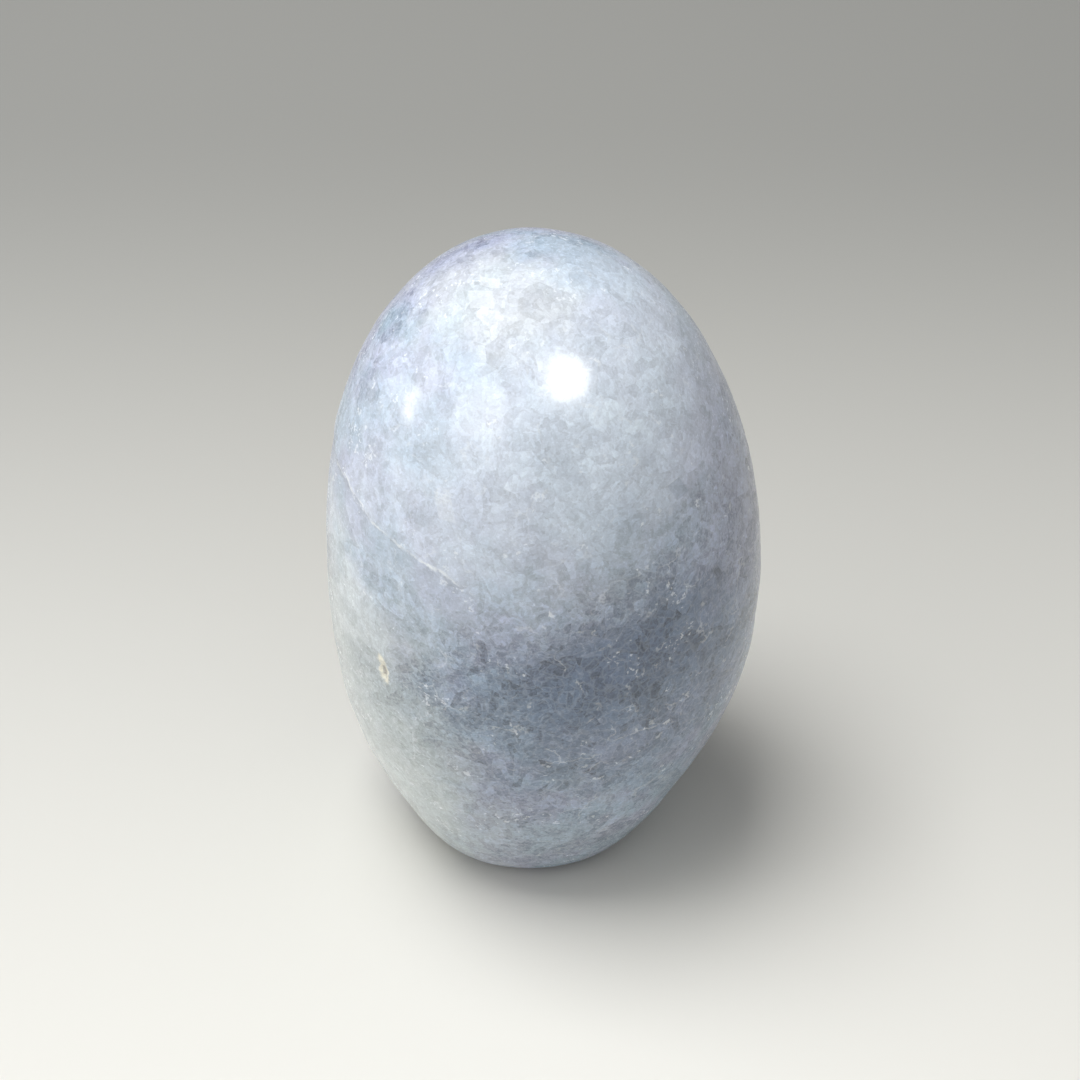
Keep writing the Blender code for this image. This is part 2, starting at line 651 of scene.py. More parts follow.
class Veil(Effect):
    """A cloudy veil in the stone."""

    name = "veil"
    inputs = (vector_port("Position"), Port("Size"), Port("Low"), Port("High"))

    def wire(self, graph: Graph, given: Sockets) -> Sockets:
        """Cuts cloudy noise to the part between Low and High.

        Args:
            graph: the group's own tree.
            given: the group's inputs by name.

        Returns:
            The sockets that feed the group's outputs, by name.
        """
        cloud = graph.noise(given["Position"], given["Size"], detail=5, rough=0.58)
        return {"Mask": graph.ramp(cloud.outputs["Fac"], given["Low"], given["High"])}


class FineCracks(Effect):
    """Thin broken seams where the stone has cracked and healed."""

    name = "fine_cracks"
    inputs = (vector_port("Position"), Port("Spacing"), Port("Width"), Port("Low"), Port("High"))
    # The size of the bends, how far they go, and the size of the spots that keep a crack, in spacings
    BEND_SIZE = 0.5
    BEND_REACH = 0.7
    SPOT_SIZE = 0.45

    def wire(self, graph: Graph, given: Sockets) -> Sockets:
        """Follows the borders of large wavy cells, and keeps them only in places.

        Args:
            graph: the group's own tree.
            given: the group's inputs by name.

        Returns:
            The sockets that feed the group's outputs, by name.
        """
        bend = graph.math("MULTIPLY", given["Spacing"], self.BEND_SIZE)
        stir = graph.noise(given["Position"], bend, detail=4, rough=0.6)
        reach = graph.math("MULTIPLY", given["Spacing"], self.BEND_REACH)
        where = graph.stirred(given["Position"], stir, reach)
        border = graph.cells(where, given["Spacing"], CellShape.ROUNDED, "DISTANCE_TO_EDGE")
        apart = graph.math("MULTIPLY", border.outputs["Distance"], given["Spacing"])
        line = graph.inverse(graph.ramp(apart, 0.0, given["Width"]))
        spot = graph.math("MULTIPLY", given["Spacing"], self.SPOT_SIZE)
        spots = graph.noise(given["Position"], spot, detail=3).outputs["Fac"]
        return {"Mask": graph.math("MULTIPLY", line, graph.ramp(spots, given["Low"], given["High"]))}


PLACED_PORTS = (
    vector_port("Position"),
    vector_port("Centre"),
    vector_port("Across"),
    vector_port("Upward"),
    Port("Half Width"),
    Port("Half Height"),
)


class PlacedPatch(Effect):
    """A soft ragged patch at one place on the skin."""

    name = "placed_patch"
    inputs = (*PLACED_PORTS, Port("Ragged"), Port("Ragged Size"), Port("Softness"))
    # How deep a patch reaches into the stone, times the larger of its half sizes
    DEPTH = 1.5

    def wire(self, graph: Graph, given: Sockets) -> Sockets:
        """Measures the distance from the centre in the patch's own axes, and roughens it.

        Args:
            graph: the group's own tree.
            given: the group's inputs by name.

        Returns:
            The sockets that feed the group's outputs, by name.
        """
        apart = graph.vector("SUBTRACT", given["Position"], given["Centre"])
        x = graph.math("DIVIDE", graph.measure("DOT_PRODUCT", apart, given["Across"]), given["Half Width"])
        y = graph.math("DIVIDE", graph.measure("DOT_PRODUCT", apart, given["Upward"]), given["Half Height"])
        outward = graph.vector("CROSS_PRODUCT", given["Across"], given["Upward"])
        widest = graph.math("MAXIMUM", given["Half Width"], given["Half Height"])
        depth = graph.math("MULTIPLY", widest, self.DEPTH)
        z = graph.math("DIVIDE", graph.measure("DOT_PRODUCT", apart, outward), depth)
        radius = graph.measure("LENGTH", graph.add("ShaderNodeCombineXYZ", X=x, Y=y, Z=z).outputs[0])
        fray = graph.noise(given["Position"], given["Ragged Size"], detail=4, rough=0.6)
        rough = graph.math("SUBTRACT", fray.outputs["Fac"], NOISE_MIDDLE)
        reach = graph.math("MULTIPLY_ADD", rough, given["Ragged"], radius)
        start = graph.math("SUBTRACT", 1.0, given["Softness"])
        end = graph.math("ADD", 1.0, given["Softness"])
        return {"Mask": graph.inverse(graph.ramp(reach, start, end))}


class CleavageWindow(Effect):
    """One larger cleavage face near the skin: a straight-sided patch with a bright line along one side."""

    name = "cleavage_window"
    inputs = PLACED_PORTS
    outputs = (Port("Mask"), Port("Rim"))
    # How far the sides lean, the size of their wobble and how far it goes, in millimetres
    SHEAR = 0.3
    WOBBLE_SIZE = 1.1
    WOBBLE = 0.2
    # Where the face fades below the skin, the softness of its edge, and the width and ends of its line
    FADE_DEPTH = (2.0, 4.0)
    EDGE = 0.15
    LINE = 0.22
    LINE_END = (-0.1, 0.05)

    def wire(self, graph: Graph, given: Sockets) -> Sockets:
        """Keeps what lies inside a rhomb, and the thin strip inside its upper side.

        Args:
            graph: the group's own tree.
            given: the group's inputs by name.

        Returns:
            The sockets that feed the group's outputs, by name.
        """
        apart = graph.vector("SUBTRACT", given["Position"], given["Centre"])
        x = graph.measure("DOT_PRODUCT", apart, given["Across"])
        y = graph.measure("DOT_PRODUCT", apart, given["Upward"])
        outward = graph.vector("CROSS_PRODUCT", given["Across"], given["Upward"])
        depth = graph.math("ABSOLUTE", graph.measure("DOT_PRODUCT", apart, outward))
        wobble = graph.noise(given["Position"], self.WOBBLE_SIZE, detail=2).outputs["Fac"]
        leaning = graph.math("ABSOLUTE", graph.math("MULTIPLY_ADD", y, self.SHEAR, x))
        side = graph.math("SUBTRACT", given["Half Width"], leaning)
        side = graph.math("ADD", side, graph.spread(wobble, -self.WOBBLE, self.WOBBLE))
        top = graph.math("SUBTRACT", given["Half Height"], graph.math("ABSOLUTE", y))
        inner = graph.math("MINIMUM", side, top)
        near = graph.inverse(graph.ramp(depth, *self.FADE_DEPTH))
        mask = graph.math("MULTIPLY", graph.ramp(inner, 0.0, self.EDGE), near)
        upper = graph.math("SUBTRACT", given["Half Height"], y)
        line = graph.inverse(graph.ramp(upper, 0.0, self.LINE))
        strip = graph.math("MULTIPLY", line, graph.ramp(inner, *self.LINE_END))
        return {"Mask": mask, "Rim": graph.math("MULTIPLY", strip, near)}


class FractureTrace(Effect):
    """The healed fracture where it meets the skin: a bright broken crest with a band of painted shade under
    it.
    """

    name = "fracture_trace"
    inputs = (vector_port("Position"), Port("Height"), Port("Slope"), Port("Fade Start"), Port("Fade End"))
    outputs = (Port("Crest"), Port("Painted Shade"))
    # The size of the plane's wavering and how far it goes each way, in millimetres
    WAVER_SIZE = 9.0
    WAVER = 3.2
    # The values of Y between which the trace fades out towards the back
    FRONT_FADE = (16.0, 2.0)
    # The size of the breaks in the crest, the noise that breaks it, and where its line fades
    BREAK_SIZE = 3.0
    BREAKS = (0.34, 0.56)
    CREST_FADE = (0.05, 0.42)
    # Where the painted shade starts below the crest, and where it ends
    BAND_START = (0.1, -0.5)
    BAND_END = (-9.0, -1.0)

    def wire(self, graph: Graph, given: Sockets) -> Sockets:
        """Measures the height above the wavering plane.

        Args:
            graph: the group's own tree.
            given: the group's inputs by name.

        Returns:
            The sockets that feed the group's outputs, by name.
        """
        axes = graph.add("ShaderNodeSeparateXYZ", Vector=given["Position"])
        plane = graph.math("MULTIPLY_ADD", axes.outputs["X"], given["Slope"], given["Height"])
        waver = graph.noise(given["Position"], self.WAVER_SIZE, detail=5, rough=0.62).outputs["Fac"]
        wavering = graph.math("ADD", plane, graph.spread(waver, -self.WAVER, self.WAVER))
        above = graph.math("SUBTRACT", axes.outputs["Z"], wavering)
        side = graph.ramp(axes.outputs["X"], given["Fade End"], given["Fade Start"])
        front = graph.ramp(axes.outputs["Y"], *self.FRONT_FADE)
        here = graph.math("MULTIPLY", side, front)
        breaks = graph.noise(given["Position"], self.BREAK_SIZE, detail=3).outputs["Fac"]
        line = graph.inverse(graph.ramp(graph.math("ABSOLUTE", above), *self.CREST_FADE))
        broken = graph.math("MULTIPLY", line, graph.ramp(breaks, *self.BREAKS))
        # Painted shade in a band below the crest
        shade_below = graph.math("MULTIPLY", graph.ramp(above, *self.BAND_START), graph.ramp(above, *self.BAND_END))
        return {"Crest": graph.math("MULTIPLY", broken, here), "Painted Shade": graph.math("MULTIPLY", shade_below, here)}


@dataclass(frozen=True)
class Patch:
    """A placed patch of another tone: its place, its half sizes in millimetres, its colour and its edge."""

    place: Place
    half_width: float
    half_height: float
    colour: Triple
    strength: float
    ragged: float = 0.9
    ragged_size: float = 9.0
    softness: float = 0.5


@dataclass(frozen=True)
class Window:
    """A placed cleavage window: its place, its half sizes in millimetres, its lightening and its line."""

    place: Place
    half_width: float
    half_height: float
    lighter: float
    rim: float


@dataclass(frozen=True)
class Cloud:
    """A veil of another colour in the body: its size in millimetres, its cut, its strength and its shift."""

    colour: Triple
    size: float
    low: float
    high: float
    strength: float = 1.0
    shift: Triple = (0.0, 0.0, 0.0)


@dataclass(frozen=True)
class MosaicScale:
    """The size of a mosaic's crystals and grains, and how far its borders drift, in millimetres."""

    crystal: float
    grain: float
    drift: float

    def place(self, graph: Graph, position: Feed) -> bpy.types.Node:
        """Places a mosaic of this scale in a material."""
        sizes = {"Crystal_Size": self.crystal, "Grain_Size": self.grain, "Drift": self.drift}
        return CleavageMosaic().place(graph, Position=position, **sizes)


@dataclass(frozen=True)
class FleckKind:
    """One kind of fleck: its size and share, the size and cut of its patches, and its strength."""

    size: float
    share: float
    patch_size: float
    patch_cut: tuple[float, float]
    strength: float

    def place(self, graph: Graph, position: Feed) -> Socket:
        """Places the flecks in a material.

        Args:
            graph: the material's tree.
            position: the position in millimetres.

        Returns:
            The flecks' mask.
        """
        node = Flecks().place(
            graph,
            Position=position,
            Size=self.size,
            Share=self.share,
            Patch_Size=self.patch_size,
            Patch_Low=self.patch_cut[0],
            Patch_High=self.patch_cut[1],
        )
        return node.outputs["Mask"]


LAVENDER = (0.43, 0.46, 0.60)
SKY = (0.37, 0.47, 0.58)
STEEL = (0.20, 0.27, 0.38)
MILK = (0.64, 0.70, 0.78)
SNOW = (0.88, 0.92, 0.96)

# The sage side is partly the stone's pale green-white colour and partly painted light on its lower left
# flank.
SAGE_SIDE_WITH_PAINTED_LIGHT = Patch(Place(-62, -18), 27, 46, (0.70, 0.75, 0.71), 0.84, ragged_size=12, softness=0.3)
# The steel band is partly the stone's darker blue and partly painted shade across the middle of its right
# front.
STEEL_BAND_WITH_PAINTED_SHADE = Patch(Place(33, 4, 24), 46, 30, (0.16, 0.21, 0.305), 0.88, 0.8, 14, 0.7)
# The steel core is partly darker, clearer stone and partly painted shade on the lower right front.
STEEL_CORE_WITH_PAINTED_SHADE = Patch(Place(22, 9, 20), 19, 11, (0.06, 0.10, 0.18), 0.55, ragged=1.3, softness=0.7)
# The snow brow is partly the stone's paler colour and partly painted light on its upper right side.
SNOW_BROW_WITH_PAINTED_LIGHT = Patch(Place(33, 49, 14), 46, 24, (0.76, 0.83, 0.92), 0.80, ragged_size=12, softness=0.7)
# The dusky foot is partly darker stone and partly painted shade where the skin turns under towards the foot.
DUSKY_FOOT_WITH_PAINTED_SHADE = Patch(Place(-8, -34), 26, 11, (0.33, 0.39, 0.46), 0.50, 1.0, 10, 0.6)
CREAM_CROWN = Patch(Place(-30, 74), 13, 10, (0.70, 0.73, 0.71), 0.50, ragged=1.2, ragged_size=6)
LAVENDER_SIDE = Patch(Place(78, 26), 22, 22, (0.47, 0.47, 0.61), 0.50, ragged=1.0, ragged_size=12)
STEEL_BACK = Patch(Place(150, 20, -20), 34, 28, (0.24, 0.31, 0.41), 0.80, 1.1, 13, 0.7)
MILKY_BACK = Patch(Place(-150, 38), 26, 20, (0.66, 0.72, 0.80), 0.60, ragged=1.0, ragged_size=11)
SAGE_BACK = Patch(Place(-165, -28), 26, 18, (0.54, 0.60, 0.58), 0.55, ragged=1.0, ragged_size=11)
CREAM_SPOT = Place(CREAM_PIT.azimuth, CREAM_PIT.elevation, CREAM_PIT.turn)
CREAM_RIM = Patch(CREAM_SPOT, 1.1, 3.2, (0.88, 0.85, 0.72), 0.90, 2.2, 1.8, 0.3)
CREAM_MIDDLE = Patch(CREAM_SPOT, 0.45, 1.3, (0.34, 0.31, 0.28), 0.75, 2.0, 0.9, 0.3)
# In the order in which they lie over each other
ZONES = (
    SAGE_SIDE_WITH_PAINTED_LIGHT,
    STEEL_BAND_WITH_PAINTED_SHADE,
    STEEL_CORE_WITH_PAINTED_SHADE,
    SNOW_BROW_WITH_PAINTED_LIGHT,
    DUSKY_FOOT_WITH_PAINTED_SHADE,
    CREAM_CROWN,
    LAVENDER_SIDE,
    STEEL_BACK,
    MILKY_BACK,
    SAGE_BACK,
    CREAM_RIM,
    CREAM_MIDDLE,
)
WINDOWS = (
    Window(Place(-38, 72, 25), 2.3, 1.8, 0.28, 0.5),
    Window(Place(-44, 77, 25), 1.9, 1.1, 0.35, 0.3),
    Window(Place(42, 34, 4), 1.6, 1.9, -0.25, 0.4),
    Window(Place(-26, 34, 0), 1.7, 2.4, 0.22, 0.5),
)


@dataclass(frozen=True)
class CalciteFinish:
    """Pale blue massive calcite with a hand polish. Sizes in the pattern are in millimetres."""

    skin: Skin
    zones: tuple[Patch, ...] = ZONES
    windows: tuple[Window, ...] = WINDOWS
    clouds: tuple[Cloud, ...] = (
        Cloud(SKY, 16.0, 0.40, 0.60),
        Cloud(STEEL, 11.0, 0.52, 0.72, 0.35, (31.0, 7.0, 55.0)),
        Cloud(MILK, 7.0, 0.50, 0.75, 0.40, (90.0, 20.0, 5.0)),
    )
    # The two mosaics and the finest grain, and how much each tone lightens and darkens
    coarse: MosaicScale = MosaicScale(6.0, 2.3, 2.4)
    small: MosaicScale = MosaicScale(2.6, 0.85, 1.0)
    fine_size: float = 0.42
    crystal_swing: float = 0.15
    grain_swing: float = 0.22
    small_swing: float = 0.22
    fine_swing: float = 0.44
    # What each channel adds to brightness, how bright clear and milky stone are, and their contrast
    luminance: Triple = (0.21, 0.72, 0.07)
    milkiness: tuple[float, float] = (0.28, 0.66)
    contrast: tuple[float, float] = (1.0, 0.42)
    seam: float = 0.14
    # The fine cracks and the trace of the fracture, with the strength of the painted shade under its crest
    crack_spacing: float = 11.0
    crack_width: float = 0.30
    crack_cut: tuple[float, float] = (0.50, 0.62)
    crack: float = 0.34
    trace_fade: tuple[float, float] = (-18.0, -8.0)
    under: float = 0.16
    crest: float = 0.75
    flecks: FleckKind = FleckKind(0.9, 0.26, 9.0, (0.50, 0.72), 0.50)
    # The glints are painted glints: white specks in the colour for light caught by cleavage faces.
    glints: FleckKind = FleckKind(1.3, 0.05, 20.0, (0.30, 0.60), 0.85)
    # The polish: its roughness, how much duller a fleck is, and its relief
    roughness: tuple[float, float] = (0.14, 0.34)
    fleck_dullness: float = 0.12
    grain_relief: float = 0.5
    relief_strength: float = 0.10
    relief_height: float = 0.0002

    def axes(self, place: Place) -> dict[str, Triple]:
        """The place of a mark, as inputs for a placed effect.

        Args:
            place: where the mark lies.

        Returns:
            Its centre in millimetres and its two axes along the skin.
        """
        spot = self.skin.frame_at(place)
        return {
            "Centre": tuple(spot.centre / MM),
            "Across": tuple(spot.across),
            "Upward": tuple(spot.upward),
        }

    def body_colour(self, graph: Graph, position: Feed) -> Feed:
        """The milky body: clouds of lavender and sky blue, with paler and darker veils.

        Args:
            graph: the material's tree.
            position: the position in millimetres.

        Returns:
            The body's colour.
        """
        colour: Feed = LAVENDER
        for cloud in self.clouds:
            where = graph.vector("ADD", position, cloud.shift)
            veil = Veil().place(graph, Position=where, Size=cloud.size, Low=cloud.low, High=cloud.high)
            colour = graph.overlaid(veil.outputs["Mask"], cloud.strength, colour, cloud.colour)
        return colour

    def zoned_colour(self, graph: Graph, position: Feed, colour: Feed) -> Feed:
        """Lays the placed zones over the body; on the front some of them carry painted light and painted
        shade.

        Args:
            graph: the material's tree.
            position: the position in millimetres.
            colour: the body's colour.

        Returns:
            The zoned colour.
        """
        for zone in self.zones:
            node = PlacedPatch().place(
                graph,
                Position=position,
                Half_Width=zone.half_width,
                Half_Height=zone.half_height,
                Ragged=zone.ragged,
                Ragged_Size=zone.ragged_size,
                Softness=zone.softness,
                **self.axes(zone.place),
            )
            colour = graph.overlaid(node.outputs["Mask"], zone.strength, colour, zone.colour)
        return colour

    def grained_colour(self, graph: Graph, colour: Feed, tones: dict[Socket, float]) -> Feed:
        """The colour with each crystal, grain and speck a little lighter or darker, most where it is clear.

        Args:
            graph: the material's tree.
            colour: the colour before the grain.
            tones: sockets that run from 0 to 1, each with how much it lightens and darkens.

        Returns:
            The grained colour.
        """
        brightness = graph.measure("DOT_PRODUCT", colour, self.luminance)
        contrast = graph.spread(graph.ramp(brightness, *self.milkiness), *self.contrast)
        swing: Feed = 0.0
        for tone, amount in tones.items():
            swing = graph.math("ADD", swing, graph.spread(tone, -amount, amount))
        return graph.scaled(colour, graph.math("MULTIPLY_ADD", swing, contrast, 1.0))

    def windowed_colour(self, graph: Graph, position: Feed, colour: Feed) -> Feed:
        """Lays the placed cleavage windows over the grain.

        Args:
            graph: the material's tree.
            position: the position in millimetres.
            colour: the colour without them.

        Returns:
            The colour with them.
        """
        for window in self.windows:
            node = CleavageWindow().place(
                graph,
                Position=position,
                Half_Width=window.half_width,
                Half_Height=window.half_height,
                **self.axes(window.place),
            )
            tone = SNOW if window.lighter > 0 else STEEL
            colour = graph.overlaid(node.outputs["Mask"], abs(window.lighter), colour, tone)
            colour = graph.overlaid(node.outputs["Rim"], window.rim, colour, SNOW)
        return colour

    def cracked_colour(self, graph: Graph, position: Feed, colour: Feed) -> Feed:
        """Draws the fine cracks and the trace of the healed fracture, with painted shade below its crest.

        Args:
            graph: the material's tree.
            position: the position in millimetres.
            colour: the colour without them.

        Returns:
            The colour with them.
        """
        cracks = FineCracks().place(
            graph,
            Position=position,
            Spacing=self.crack_spacing,
            Width=self.crack_width,
            Low=self.crack_cut[0],
            High=self.crack_cut[1],
        )
        colour = graph.overlaid(cracks.outputs["Mask"], self.crack, colour, SNOW)
        trace = FractureTrace().place(
            graph,
            Position=position,
            Height=self.skin.fracture.height / MM,
            Slope=self.skin.fracture.slope,
            Fade_Start=self.trace_fade[0],
            Fade_End=self.trace_fade[1],
        )
        # Painted shade below the fracture's crest
        colour = graph.overlaid(trace.outputs["Painted Shade"], self.under, colour, STEEL)
        return graph.overlaid(trace.outputs["Crest"], self.crest, colour, SNOW)

    def material(self) -> bpy.types.Material:
        """Builds the stone's material.

        Returns:
            The finished material.
        """
        material = bpy.data.materials.new("blue_calcite_polished")
        material.use_nodes = True
        graph = Graph(material.node_tree)
        shader = material.node_tree.nodes["Principled BSDF"]
        place = graph.add("ShaderNodeTexCoord").outputs["Object"]
        position = graph.scaled(place, 1 / MM)

        coarse = self.coarse.place(graph, position)
        small = self.small.place(graph, position)
        fine = graph.noise(position, self.fine_size, detail=2.5, rough=0.6).outputs["Fac"]
        tones = {
            coarse.outputs["Crystal Tone"]: self.crystal_swing,
            coarse.outputs["Grain Tone"]: self.grain_swing,
            small.outputs["Grain Tone"]: self.small_swing,
            fine: self.fine_swing,
        }
        flecks = self.flecks.place(graph, position)
        glints = self.glints.place(graph, position)

        colour = self.body_colour(graph, position)
        colour = self.zoned_colour(graph, position, colour)
        colour = self.grained_colour(graph, colour, tones)
        colour = graph.overlaid(coarse.outputs["Grain Seam"], self.seam, colour, MILK)
        colour = self.windowed_colour(graph, position, colour)
        colour = self.cracked_colour(graph, position, colour)
        colour = graph.overlaid(flecks, self.flecks.strength, colour, SNOW)
        # Painted glints
        colour = graph.overlaid(glints, self.glints.strength, colour, SNOW)
        graph.feed(shader.inputs["Base Color"], colour)

        polish = graph.spread(fine, *self.roughness)
        dull = graph.math("MULTIPLY_ADD", flecks, self.fleck_dullness, polish)
        graph.feed(shader.inputs["Roughness"], dull)
        relief = graph.math("MULTIPLY_ADD", coarse.outputs["Grain Tone"], self.grain_relief, fine)
        bump = graph.add("ShaderNodeBump", Height=relief, Distance=self.relief_height)
        bump.inputs["Strength"].default_value = self.relief_strength
        graph.feed(shader.inputs["Normal"], bump.outputs["Normal"])

        shader.inputs["IOR"].default_value = 1.52
        shader.inputs["Subsurface Weight"].default_value = 0.25
        shader.inputs["Subsurface Radius"].default_value = (0.8, 0.9, 1.0)
        shader.inputs["Subsurface Scale"].default_value = 0.003
        shader.inputs["Coat Weight"].default_value = 0.3
        shader.inputs["Coat Roughness"].default_value = 0.11
        shader.inputs["Coat IOR"].default_value = 1.55
        return material


@dataclass
class Stone:
    """The one stone, as a fine mesh of the polished skin with its pits, in place of the faceted node."""

    skin: Skin = field(default_factory=Skin)
    cells: int = 116
    # The waves of hand polishing: their number, their draw, and their height and length in metres
    waves: int = 14
    wave_draw: int = 7
    wave_height: float = 0.000022
    wave_length: tuple[float, float] = (0.009, 0.024)
    # The rim of a pit: how far its three and its five waves stray, and where it meets the skin
    three_waves: float = 0.16
    five_waves: float = 0.09
    pit_reach: float = 1.15
    # How much of a direction's rise counts where the skin is lifted
    lift_rise: float = 0.4
    # The height from which the waves start above the flat, and over which they grow
    flat_clear: float = 0.001
    flat_blend: float = 0.006

    def ways(self) -> tuple[bpy.types.Mesh, np.ndarray]:
        """A cube of even cells blown up to a ball.

        Returns:
            The mesh and the unit direction of each of its points.
        """
        ball = bmesh.new()
        bmesh.ops.create_cube(ball, size=2)
        bmesh.ops.subdivide_edges(ball, edges=ball.edges[:], cuts=self.cells - 1, use_grid_fill=True)
        bmesh.ops.recalc_face_normals(ball, faces=ball.faces[:])
        mesh = bpy.data.meshes.new(NODE + "_polished")
        ball.to_mesh(mesh)
        ball.free()
        cube = np.empty(len(mesh.vertices) * 3)
        mesh.vertices.foreach_get("co", cube)
        ways = np.tan(cube.reshape(-1, 3) * math.pi / 4)
        return mesh, ways / np.linalg.norm(ways, axis=1, keepdims=True)

    def waviness(self, points: np.ndarray) -> np.ndarray:
        """The slight waves that polishing by hand leaves.

        Args:
            points: points of the skin in metres.

        Returns:
            The waves' height at each point.
        """
        draw = np.random.default_rng(self.wave_draw)
        height = np.zeros(len(points))
        for _ in range(self.waves):
            way = draw.normal(size=3)
            way /= np.linalg.norm(way)
            length = draw.uniform(*self.wave_length)
            height += np.sin(points @ way * 2 * math.pi / length + draw.uniform(0, 2 * math.pi))
        return height * self.wave_height

    def pit_depth(self, points: np.ndarray, pit: Pit) -> np.ndarray:
        """The hollow of one pit, with its ragged rim.

        Args:
            points: points of the skin in metres.
            pit: the pit.

        Returns:
            How deep the pit sinks the skin at each point.
        """
        spot = self.skin.frame_at(pit)
        apart = points - spot.centre
        x = apart @ spot.across / (pit.width / 2)
        y = apart @ spot.upward / (pit.length / 2)
        depth = apart @ spot.outward / pit.length
        angle = np.arctan2(y, x)
        edge = 1 + self.three_waves * np.sin(3 * angle + pit.turn)
        edge += self.five_waves * np.sin(5 * angle + 2 * pit.turn)
        radius = np.sqrt(x**2 + y**2 + depth**2) / edge
        return pit.depth * (1 - smooth_step(radius / self.pit_reach))

    def build(self) -> bpy.types.Object:
        """Builds the stone's fine mesh.

        Returns:
            The stone's object, riding on the root body in place of the node.
        """
        mesh, ways = self.ways()
        points = self.skin.points(ways)
        outward = ways.copy()
        outward[:, 2] *= self.lift_rise
        outward /= np.linalg.norm(outward, axis=1, keepdims=True)
        above_flat = smooth_step((points[:, 2] - self.flat_clear) / self.flat_blend)
        lift = self.waviness(points) * above_flat
        for pit in PITS:
            lift -= self.pit_depth(points, pit)
        points += outward * lift[:, None]
        mesh.vertices.foreach_set("co", points.ravel())
        mesh.update()
        mesh.shade_smooth()
        stone = bpy.data.objects.new(NODE + "_polished", mesh)
        bpy.context.scene.collection.objects.link(stone)
        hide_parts(NODE)
        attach(stone, BODY)
        return stone

    def dress(self, stone: bpy.types.Object) -> None:
        """Gives the stone its finish."""
        stone.data.materials.append(CalciteFinish(self.skin).material())


class LampShape(Enum):
    """The outline of a soft light."""

    PANEL = "RECTANGLE"
    OVAL = "ELLIPSE"


class LampTask(Enum):
    """Whether a light brightens what it falls on, or only shows in the polish."""

    LIGHTS = "lights"
    GLEAMS = "gleams"


@dataclass(frozen=True)
class SoftLight:
    """A soft light: where it stands as seen from the stone, its size in metres, its power and its task."""

    name: str
    azimuth: float
    elevation: float
    distance: float
    width: float
    height: float
    power: float
    task: LampTask = LampTask.LIGHTS
    shape: LampShape = LampShape.PANEL
    aim: Triple = (0.0, 0.0, 0.07)

    def build(self) -> bpy.types.Object:
        """Adds the light, turned towards its aim.

        Returns:
            The light's object.
        """
        data = bpy.data.lights.new(self.name, "AREA")
        data.shape = self.shape.value
        data.size = self.width
        data.size_y = self.height
        data.energy = self.power
        lamp = bpy.data.objects.new(self.name, data)
        lamp.visible_diffuse = self.task is LampTask.LIGHTS
        lamp.visible_glossy = self.task is LampTask.GLEAMS
        away = Vector(direction(self.azimuth, self.elevation))
        lamp.location = Vector(self.aim) + away * self.distance
        lamp.rotation_mode = "QUATERNION"
        lamp.rotation_quaternion = away.to_track_quat("Z", "Y")
        bpy.context.scene.collection.objects.link(lamp)
        return lamp


@dataclass(frozen=True)
class RoomGlow:
    """A soft bright side of the room: its direction in degrees and its strength."""

    azimuth: float
    elevation: float
    strength: float


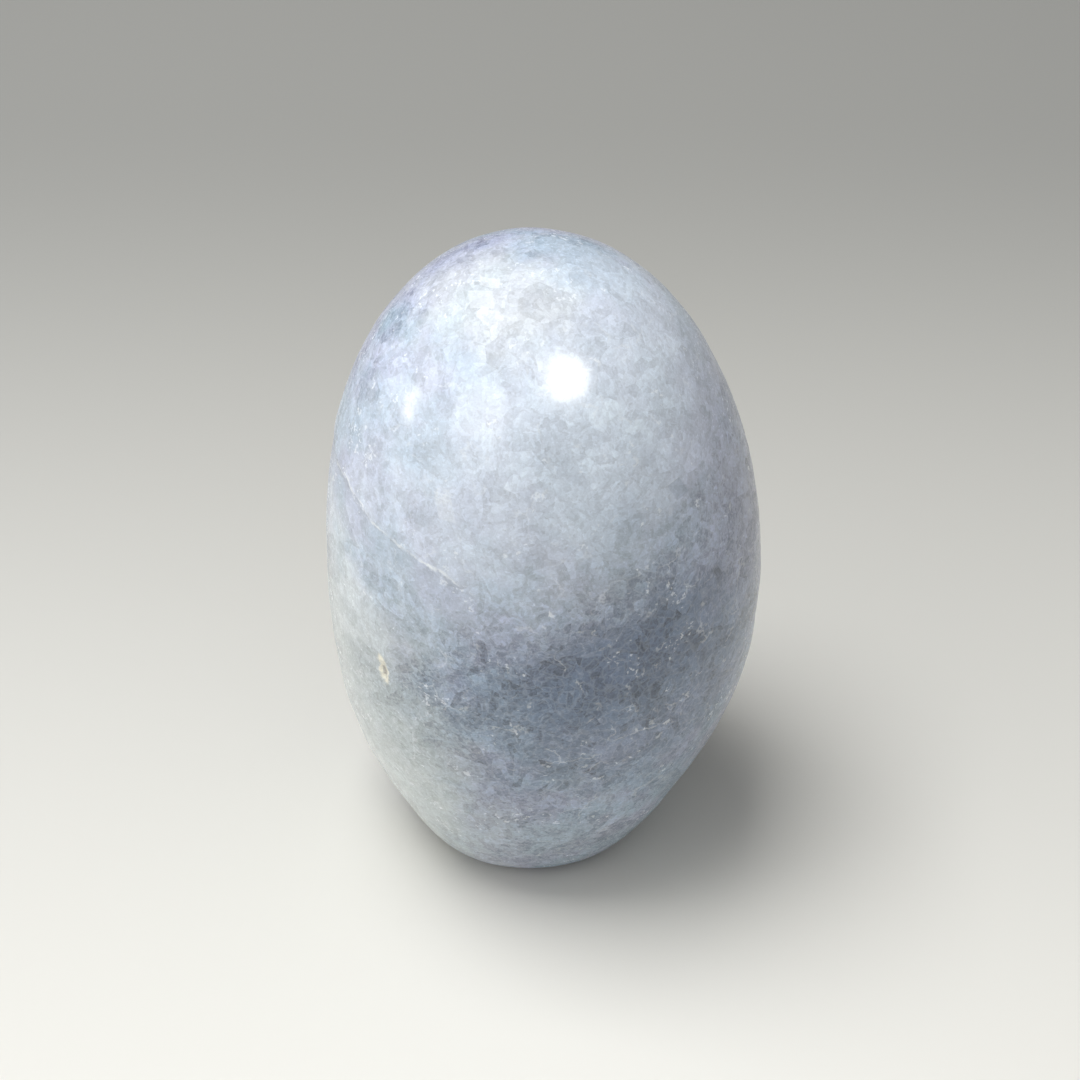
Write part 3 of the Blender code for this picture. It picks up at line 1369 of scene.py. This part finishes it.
@dataclass(frozen=True)
class Studio:
    """The plain pale floor, the soft room and the lamps whose reflections the polish shows."""

    floor_size: float = 4.0
    front_tone: Triple = (0.86, 0.85, 0.80)
    painted_shade_tone: Triple = (0.31, 0.31, 0.295)
    room_tone: Triple = (1.0, 1.0, 1.0)
    floor_gap: float = 0.00005
    # The values of Y between which painted shade darkens the floor towards the back, and how narrow the
    # room's bright sides are
    floor_painted_shade: tuple[float, float] = (-0.24, 0.33)
    glow_focus: float = 5.0
    glows: tuple[RoomGlow, ...] = (
        RoomGlow(-76, 44, 0.75),
        RoomGlow(40, 62, 0.70),
        RoomGlow(-84, 12, 1.15),
        RoomGlow(112, 26, 0.36),
    )
    lights: tuple[SoftLight, ...] = (
        SoftLight("tall_window", -98, 75, 1.2, 0.62, 0.62, 13.2),
        SoftLight("round_lamp", 30, 50, 1.0, 0.56, 0.38, 5.4, LampTask.GLEAMS, LampShape.OVAL),
        SoftLight("front_window", -38, 28.5, 1.4, 0.66, 0.56, 4.8, LampTask.GLEAMS),
        SoftLight("blind", -80, 13.5, 1.4, 0.16, 0.26, 1.2, LampTask.GLEAMS),
    )

    def floor(self) -> bpy.types.Object:
        """A flat sheet of pale paper, with painted shade that darkens it towards the back.

        Returns:
            The floor's object.
        """
        bpy.ops.mesh.primitive_plane_add(size=self.floor_size, location=(0, 0, -self.floor_gap))
        floor = bpy.context.object
        floor.name = "paper_floor"
        material = bpy.data.materials.new("pale_paper")
        material.use_nodes = True
        graph = Graph(material.node_tree)
        shader = material.node_tree.nodes["Principled BSDF"]
        place = graph.add("ShaderNodeTexCoord").outputs["Object"]
        depth = graph.add("ShaderNodeSeparateXYZ", Vector=place).outputs["Y"]
        # Painted shade: the paper darkens towards the back as if the light fell off
        fade = graph.ramp(depth, *self.floor_painted_shade)
        graph.feed(shader.inputs["Base Color"], graph.mixed(fade, self.front_tone, self.painted_shade_tone))
        shader.inputs["Roughness"].default_value = 0.85
        shader.inputs["Specular IOR Level"].default_value = 0.2
        floor.data.materials.append(material)
        return floor

    def room(self) -> bpy.types.World:
        """The room around the stone, dark but for its soft bright sides.

        Returns:
            The scene's world.
        """
        world = bpy.data.worlds.new("soft_room")
        world.use_nodes = True
        graph = Graph(world.node_tree)
        way = graph.vector("NORMALIZE", graph.add("ShaderNodeTexCoord").outputs["Generated"])
        total: Feed = 0.0
        for glow in self.glows:
            facing = graph.measure("DOT_PRODUCT", way, tuple(direction(glow.azimuth, glow.elevation)))
            lobe = graph.math("POWER", graph.math("MAXIMUM", facing, 0.0), self.glow_focus)
            total = graph.math("MULTIPLY_ADD", lobe, glow.strength, total)
        sky = world.node_tree.nodes["Background"]
        graph.feed(sky.inputs["Strength"], total)
        sky.inputs["Color"].default_value = (*self.room_tone, 1.0)
        bpy.context.scene.world = world
        return world

    def build(self) -> None:
        """Builds the floor, the room and the lamps."""
        self.floor()
        self.room()
        for light in self.lights:
            light.build()
        bpy.context.scene.view_settings.view_transform = "Standard"


@dataclass(frozen=True)
class PhotoCamera:
    """The camera at the photograph's angle, aimed so that the stone falls where it does there."""

    elevation: float = 42.0
    distance: float = 0.348
    aim_height: float = 0.0656
    shift: tuple[float, float] = (-0.0004, 0.0003)
    focal_pixels: float = 1722.0
    frame_pixels: float = 1080.0
    sensor: float = 36.0
    frame_drop: float = 30.5
    frame_side: float = 1.4
    nearest: float = 0.01
    farthest: float = 20.0

    def build(self) -> bpy.types.Object:
        """Adds the camera and makes it the scene's own.

        Returns:
            The camera's object.
        """
        data = bpy.data.cameras.new("photo_camera")
        data.sensor_width = self.sensor
        data.lens = self.focal_pixels / self.frame_pixels * self.sensor
        data.shift_x = -self.frame_side / self.frame_pixels
        data.shift_y = self.frame_drop / self.frame_pixels
        data.clip_start = self.nearest
        data.clip_end = self.farthest
        camera = bpy.data.objects.new("photo_camera", data)
        back = Vector(direction(0, self.elevation))
        aim = Vector((self.shift[0], self.shift[1], self.aim_height))
        camera.location = aim + back * self.distance
        camera.rotation_mode = "QUATERNION"
        camera.rotation_quaternion = back.to_track_quat("Z", "Y")
        bpy.context.scene.collection.objects.link(camera)
        bpy.context.scene.camera = camera
        return camera


def main() -> None:
    """Builds the camera, the stone and the studio, and logs the camera and the stone."""
    logging.basicConfig(level=logging.INFO)
    camera = PhotoCamera().build()
    log.info("camera %s at %s", camera.name, [round(value, 4) for value in camera.location])
    stone = Stone()
    piece = stone.build()
    stone.dress(piece)
    log.info("piece %s with %d faces", piece.name, len(piece.data.polygons))
    Studio().build()


if __name__ == "__main__":
    main()
